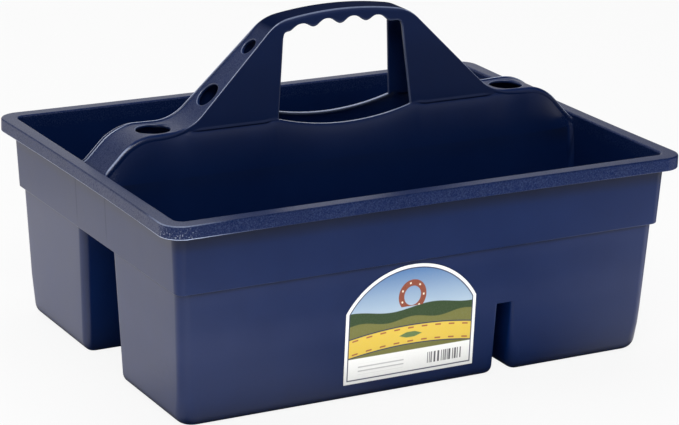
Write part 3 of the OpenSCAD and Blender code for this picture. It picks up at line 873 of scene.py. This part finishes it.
def navy_plastic():
    mat, tree, shader = new_material("navy_plastic")
    coords = new_node(tree, "TexCoord").outputs["Object"]
    geometry = new_node(tree, "NewGeometry")
    x, y, z = parts(tree, coords)
    ax, ay = abs(x), abs(y)
    east, north, upward = parts(tree, geometry.outputs["Normal"])
    outward = x * east + y * north
    level = abs(north).between(0.25, 0.5).flip()
    painted_light_attr = new_node(tree, "Attribute")
    painted_light_attr.attribute_name = "painted_light"
    edge_wear_and_light = Field(tree, painted_light_attr.outputs["Fac"])
    painted_light, gloom = edge_wear_and_light.clip(), (edge_wear_and_light * -1.0).clip()
    cloud = noise(tree, coords, 14.0, 4.0, 0.55)
    flow = noise(tree, coords, 55.0, 3.0, 0.5)
    speck = noise(tree, coords, 900.0, 2.0, 0.6)
    grain = noise(tree, coords, 1700.0, 3.0, 0.65)
    wave = noise(tree, coords, 38.0, 2.0, 0.4)
    # The rim and the straps' top faces have a coarser texture than the walls
    brim = ax.between(*BRIM_X).math("MAXIMUM", ay.between(*BRIM_Y))
    deck = upward.between(0.35, 0.6) * level * z.between(*DECK_LOW)
    # The grip's top: less gloss, and painted shade further down
    polish_and_shade = upward.between(0.55, 0.80) * z.between(*GRIP_LOW) * level
    coarse = (brim * z.between(*LIP_LOW)).math("MAXIMUM", deck) * polish_and_shade.flip()
    mottle = (cloud * 0.7 + flow * 0.3).between(0.35, 0.65)
    tone = mix(mottle, NAVY, NAVY_PALE)
    # The handle is a little paler with use
    fleck = speck.between(0.54, 0.74) * (coarse * 0.38 + 0.05)
    tone = mix(fleck.math("MAXIMUM", z.between(*HANDLED_LOW) * 0.07), tone, FLECK)
    # Convex edges a little lighter: partly wear, partly a painted highlight
    edge = Field(tree, geometry.outputs["Pointiness"]).between(0.515, 0.56)
    tone = mix(edge * (flow * 0.4 + 0.1), tone, EDGE_WEAR_AND_SHEEN)
    # Painted highlights along the edges, from the mesh's per-point values
    tone = mix(painted_light * (speck * 0.5 + 0.55), tone, PAINTED_HIGHLIGHT)
    # Painted shade: dark lines along the creases and edges, and a darker top on the grip
    tone = mix(gloom.math("MAXIMUM", polish_and_shade * 0.75), tone, PAINTED_SHADE)
    # Painted glints: light specks on the lip of the near left corner
    corner = (x * -1.0 - y).between(*GLINT_CORNER) * z.within(*GLINT_Z)
    tone = mix(corner * speck.between(0.60, 0.66), tone, CORNER_GLINT)
    # Painted shade in a thin line on the inside of each end wall, beside the divider's walls, with
    # less gloss there
    end_corner_shade = abs(ay - END_SHADE_Y).between(*END_SHADE_EDGE).flip() * ax.between(*END_SHADE_X)
    end_corner_shade = end_corner_shade * z.within(*END_SHADE_Z)
    tone = mix(end_corner_shade * 0.30, tone, PAINTED_SHADE)
    # Painted shadow under the lip, and a thin painted shadow line under the collar's step
    outer = outward.between(*OUTER_FACES)
    under_lip_shade = z.within(*UNDER_LIP_Z) * upward.between(0.1, 0.3).flip()
    tone = mix(under_lip_shade * outer * 0.75, tone, UNDER_LIP_SHADOW)
    tone = mix(z.within(*STEP_SHADOW_Z) * outer * 0.55, tone, STEP_SHADOW)
    tree.links.new(tone, shader.inputs["Base Color"])
    rough = cloud * 0.08 + grain * 0.06 + coarse * speck * 0.14 + 0.23
    (rough - painted_light * 0.10 + polish_and_shade * 0.36).feed(shader.inputs["Roughness"])
    shader.inputs["IOR"].default_value = 1.5
    dull = polish_and_shade.math("MAXIMUM", gloom)
    wells = z.between(*WELL_HIGH).flip()
    gloss = (speck - 0.5) * coarse * 1.8 - end_corner_shade * 0.2 + wells * 0.08 + 0.5
    (gloss * (dull * -0.97 + 1.0)).clip().feed(shader.inputs["Specular IOR Level"])
    first = bump(grain, 0.00012, 0.04)
    second = bump(speck * coarse, 0.00030, 0.36, first)
    tree.links.new(bump(wave, 0.0006, 0.10, second), shader.inputs["Normal"])
    return mat


# Colours of the label's print
PAPER, INK = (0.86, 0.86, 0.84), (0.02, 0.03, 0.09)
SKY_LOW, SKY_HIGH = (0.42, 0.53, 0.62), (0.08, 0.19, 0.40)
HILL_FAR, HILL_NEAR = (0.035, 0.070, 0.022), (0.17, 0.17, 0.035)
SHOE, NAIL = (0.26, 0.055, 0.022), (0.80, 0.74, 0.60)
BAND, STITCH, LEAF = (0.70, 0.49, 0.045), (0.35, 0.09, 0.03), (0.12, 0.20, 0.06)
BAR, RULE = (0.10, 0.10, 0.11), (0.25, 0.25, 0.27)
FIBRE, SCRAPE = (0.45, 0.45, 0.43), (0.60, 0.60, 0.58)


def label_print():
    """A generic print: hills, a horseshoe, a stitched band and a plain panel with fine bars."""
    mat, tree, shader = new_material("label_print")
    uv = new_node(tree, "UVMap")
    uv.uv_map = "print"
    x, h, _ = parts(tree, uv.outputs["UV"])
    x = x - 0.5
    ax = abs(x)
    arch_r = LABEL_ARCH_R / LABEL_UNIT
    arch_h = h - (LABEL_SIDE + LABEL_ARCH) / LABEL_UNIT + arch_r
    dome = (x * x + arch_h * arch_h).math("SQRT") * -1.0 + arch_r
    inset = (ax * -1.0 + LABEL_WIDTH / 2 / LABEL_UNIT).math("MINIMUM", h).math("MINIMUM", dome)
    sky = mix(h.between(0.48, 0.86), SKY_LOW, SKY_HIGH)
    far = (x * 9.0).math("SINE") * 0.02 + 0.56
    near = (x * 14.0 + 1.4).math("SINE") * 0.015 + 0.47
    art = mix(h.above(far), HILL_FAR, sky)
    art = mix(h.above(near), HILL_NEAR, art)
    # Horseshoe: an arc that opens downwards, with a row of nail holes
    sx, sh = x * 1.08, h - 0.655
    radius = (sx * sx + sh * sh).math("SQRT")
    arm = abs(radius - 0.105)
    shoe = arm.above(0.026).flip() * sh.above(-0.085)
    art = mix(shoe, art, SHOE)
    turn = sh.math("ARCTAN2", sx)
    nails = (turn * 7.0).math("COSINE").above(0.86, 0.05) * arm.above(0.007).flip() * shoe
    art = mix(nails, art, NAIL)
    # Band that bows upwards across the middle
    band = abs(h - 0.335 + x * x * 0.16)
    art = mix(band.above(0.082).flip(), art, INK)
    art = mix(band.above(0.073).flip(), art, BAND)
    stitches = (x * 52.0).math("COSINE").above(0.25, 0.1)
    stitches = stitches * abs(band - 0.055).above(0.006).flip()
    art = mix(stitches, art, STITCH)
    middle = ax.above(0.34).flip() * band.above(0.022).flip()
    leaf = (ax * 0.35 + band).above(0.035).flip()
    art = mix(middle * leaf, art, LEAF)
    # Plain panel at the foot, with fine bars and rules
    art = mix(h.above(0.205).flip(), art, PAPER)
    panel = abs(h - 0.115).above(0.045).flip()
    stripe = new_node(tree, "TexNoise")
    stripe.noise_dimensions = "1D"
    stripe.inputs["Scale"].default_value = 60.0
    stripe.inputs["Detail"].default_value = 1.0
    x.feed(stripe.inputs["W"])
    bars = Field(tree, stripe.outputs[0]).above(0.5, 0.02)
    bars = bars * abs(x - 0.31).above(0.15).flip()
    art = mix(bars * panel, art, BAR)
    rules = (h * 190.0).math("COSINE").above(0.55, 0.2)
    rules = rules * abs(x + 0.25).above(0.20).flip()
    art = mix(rules * panel * 0.55, art, RULE)
    art = mix(inset.above(0.034), INK, art)
    art = mix(inset.above(0.025), PAPER, art)
    coords = new_node(tree, "TexCoord").outputs["Object"]
    paper = noise(tree, coords, 700.0, 3.0, 0.6)
    art = mix(paper.between(0.4, 0.8) * 0.06, art, FIBRE)
    scuff = noise(tree, coords, 60.0, 4.0, 0.65)
    edge_wear_and_light = inset.between(0.0, 0.012).flip() * scuff.between(0.5, 0.7)
    art = mix(edge_wear_and_light * 0.35, art, SCRAPE)
    tree.links.new(art, shader.inputs["Base Color"])
    (scuff * 0.2 + 0.25).feed(shader.inputs["Roughness"])
    shader.inputs["IOR"].default_value = 1.48
    tree.links.new(bump(paper, 0.00004, 0.25), shader.inputs["Normal"])
    return mat


# Strength of the floor in reflections, by azimuth in degrees from +X
FLOOR_GLOW = ((-150, 0.50), (-120, 0.50), (-90, 0.12), (-60, 0.02), (-30, 1.0), (30, 0.4),
              (60, 1.05), (90, 1.3), (120, 1.05), (150, 0.90), (180, 0.84))
GLOW_TINT, LOBE_SHARPNESS, ALMOST_ONE = (1.0, 0.97, 0.965, 1), 3.0, 0.999999
# The floor glows beyond these half sizes of the box, and grows dimmer further out
UNDER_X, UNDER_Y, UNDER_FADE = 0.20, 0.145, 0.012
FAR_FLOOR, FAR_LOSS = (0.48, 0.56), 0.25
# Grey of the floor's lit share, its loss in reflections, and the share of plain white
LIT, LIT_LOSS, WHITE_SHARE = 0.82, 0.74, 0.9


def stage_white():
    """White to the camera and graded in reflections, with a lit share that keeps the shadow."""
    mat, tree, _ = new_material("stage_white")
    tree.nodes.clear()
    out = new_node(tree, "OutputMaterial")
    lit = new_node(tree, "BsdfDiffuse")
    geometry = new_node(tree, "NewGeometry")
    x, y, _ = parts(tree, geometry.outputs["Position"])
    azimuth = y.math("ARCTAN2", x)
    graded = None
    for angle, strength in FLOOR_GLOW:
        gap = (azimuth - math.radians(angle)).math("COSINE").math("MINIMUM", ALMOST_ONE)
        lobe = gap.math("ARCCOSINE") * LOBE_SHARPNESS
        lobe = lobe.math("MINIMUM", math.pi / 2).math("COSINE")
        lobe = lobe * lobe * strength
        graded = lobe if graded is None else graded + lobe
    clear = (abs(x) - UNDER_X).math("MAXIMUM", abs(y) - UNDER_Y).between(0.0, UNDER_FADE)
    reach = (x * x + y * y).math("SQRT")
    graded = graded * (reach.between(*FAR_FLOOR) * -FAR_LOSS + 1.0)
    path = new_node(tree, "LightPath")
    mirrored = Field(tree, path.outputs["Is Glossy Ray"])
    mirrored = mirrored.math("MAXIMUM", Field(tree, path.outputs["Is Transmission Ray"]))
    (mirrored * -LIT_LOSS + LIT).feed(lit.inputs["Color"])
    gleam = new_node(tree, "Emission")
    gleam.inputs["Color"].default_value = GLOW_TINT
    (graded * clear * mirrored).feed(gleam.inputs["Strength"])
    both = new_node(tree, "AddShader")
    tree.links.new(lit.outputs[0], both.inputs[0])
    tree.links.new(gleam.outputs[0], both.inputs[1])
    white = new_node(tree, "Emission")
    white.inputs["Color"].default_value = (1, 1, 1, 1)
    blend = new_node(tree, "MixShader")
    (Field(tree, path.outputs["Is Camera Ray"]) * WHITE_SHARE).feed(blend.inputs[0])
    tree.links.new(both.outputs[0], blend.inputs[1])
    tree.links.new(white.outputs[0], blend.inputs[2])
    tree.links.new(blend.outputs[0], out.inputs["Surface"])
    return mat


# Stage, lights and camera: sizes in metres
FLOOR_R, FLOOR_COVE, FLOOR_WALL = 4.2, 0.8, 1.1


def stage():
    """Round floor that turns up into a low wall at its edge."""
    section = [(0.001, 0), (1.5, 0), (FLOOR_R, 0)]
    section += [(FLOOR_R + FLOOR_COVE * math.sin(a), FLOOR_COVE * (1 - math.cos(a)))
                for a in (math.pi / 2 * k / 10 for k in range(1, 11))]
    section += [(FLOOR_R + FLOOR_COVE, FLOOR_WALL)]
    steps = 96
    turns = [2 * math.pi * i / steps for i in range(steps)]
    points = [(r * math.cos(a) / MM, r * math.sin(a) / MM, z / MM)
              for r, z in section for a in turns]
    faces = []
    for j in range(0, len(points) - steps, steps):
        faces += ring_faces(range(j, j + steps), range(j + steps, j + 2 * steps))
    floor = make_mesh("floor", points, faces)
    floor.data.materials.append(stage_white())


def soft_box(name, place, aim, size, power, mirrored=True):
    lamp = bpy.data.lights.new(name, "AREA")
    lamp.shape, lamp.size, lamp.size_y = "RECTANGLE", size[0], size[1]
    lamp.energy = power
    obj = bpy.data.objects.new(name, lamp)
    obj.location = place
    obj.rotation_euler = (Vector(aim) - Vector(place)).to_track_quat("-Z", "Y").to_euler()
    obj.visible_camera, obj.visible_glossy = False, mirrored
    bpy.context.scene.collection.objects.link(obj)


# Soft boxes: place in metres, size and watts
LAMPS = {"key": ((-0.9, -1.5, 2.1), (1.6, 1.2), 31.0),
         "top": ((0.3, 0.6, 2.4), (2.0, 1.6), 33.0),
         "rear_left": ((-2.2, 1.3, 1.1), (1.2, 1.4), 13.5),
         "back": ((0.6, 2.6, 1.3), (2.4, 1.4), 5.2)}
LAMP_AIM = (0, 0, 0.1)
# Light thrown up by the floor beside the box: place and size in metres, and watts
BOUNCE = {"front": ((0.03, -0.375), (0.66, 0.38), 1.9),
          "left": ((-0.36, -0.07), (0.30, 0.46), 0.5),
          "right": ((0.41, 0.0), (0.28, 0.44), 1.35),
          "rear": ((0.0, 0.36), (0.64, 0.28), 2.0)}
BOUNCE_HEIGHT = 0.004
# Glow of the room: azimuth and height in degrees, sharpness and strength
ROOM = ((112, 30, 12.0, 0.24), (62, 18, 12.0, 0.46), (-58, 32, 12.0, 0.45))


def lights():
    for name, (place, size, power) in LAMPS.items():
        soft_box(name, place, LAMP_AIM, size, power, mirrored=name != "top")
    for name, ((x, y), size, power) in BOUNCE.items():
        soft_box("bounce_" + name, (x, y, BOUNCE_HEIGHT), (x, y, 1), size, power, mirrored=False)
    world = bpy.data.worlds.new("studio")
    world.use_nodes = True
    tree = world.node_tree
    sky = tree.nodes["Background"]
    sky.inputs["Color"].default_value = (1, 1, 1, 1)
    towards = new_node(tree, "TexCoord").outputs["Generated"]
    total = None
    for azimuth, height, sharpness, strength in ROOM:
        a, e = math.radians(azimuth), math.radians(height)
        dot = new_node(tree, "VectorMath")
        dot.operation = "DOT_PRODUCT"
        tree.links.new(towards, dot.inputs[0])
        dot.inputs[1].default_value = (math.cos(a) * math.cos(e), math.sin(a) * math.cos(e),
                                       math.sin(e))
        lobe = Field(tree, dot.outputs["Value"]).math("MAXIMUM", 0.0)
        lobe = lobe.math("POWER", sharpness) * strength
        total = lobe if total is None else total + lobe
    total.feed(sky.inputs["Strength"])
    bpy.context.scene.world = world


# The photograph's camera: azimuth, height and roll in degrees, the rest in millimetres
CAMERA_TURN, CAMERA_AIM = (-28.6044, 17.4196, 1.1408), (5.9274, 0, 99.3676)
CAMERA_DISTANCE, CAMERA_LENS, CAMERA_SENSOR = 2180.705, 142.66, 36.0


def camera():
    az, el, roll = (math.radians(a) for a in CAMERA_TURN)
    back = Vector((math.sin(az) * math.cos(el), -math.cos(az) * math.cos(el), math.sin(el)))
    right = (-back).cross(Vector((0, 0, 1))).normalized()
    up = right.cross(-back)
    across = right * math.cos(roll) + up * math.sin(roll)
    upright = up * math.cos(roll) - right * math.sin(roll)
    place = Vector(CAMERA_AIM) * MM + back * CAMERA_DISTANCE * MM
    cam = bpy.data.cameras.new("camera")
    cam.sensor_fit, cam.sensor_width, cam.lens = "HORIZONTAL", CAMERA_SENSOR, CAMERA_LENS
    obj = bpy.data.objects.new("camera", cam)
    obj.matrix_world = Matrix((across, upright, back)).transposed().to_4x4()
    obj.location = place
    bpy.context.scene.collection.objects.link(obj)
    bpy.context.scene.camera = obj


bpy.context.scene.view_settings.view_transform = "Standard"
camera()
lights()
stage()

plastic = navy_plastic()


def settle(piece, nodes, material=None):
    """Gives a piece its material and body, and hides the nodes it replaces."""
    piece.data.materials.clear()
    piece.data.materials.append(material or plastic)
    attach(piece, "root")
    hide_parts(*nodes)


rim = rim_and_collar()
large = well("large_front_well_skin", BRIDGE_TOP, right=1)
small = well("small_front_well_skin", BRIDGE_TOP, left=1)
for piece in (large, small):
    trim_slot_walls(piece)
rear = well("rear_well_skin", STEP, rear=True)
trough = front_trough()
bridge = slot_bridge()
grip = handle()
for piece in (rim, large, small, rear, trough, bridge, grip):
    weigh_normals(piece)
settle(rim, ["rim", "collar"])
settle(large, ["large_front_well"])
settle(small, ["small_front_well"])
settle(rear, ["rear_well"])
settle(trough, ["front_trough"])
settle(bridge, ["front_slot_bridge"])
settle(grip, ["divider_front", "divider_rear", "strap_left", "strap_right", "cheek_front_left",
              "cheek_front_right", "cheek_rear_left", "cheek_rear_right", "grip"])
settle(label(), ["label"], label_print())
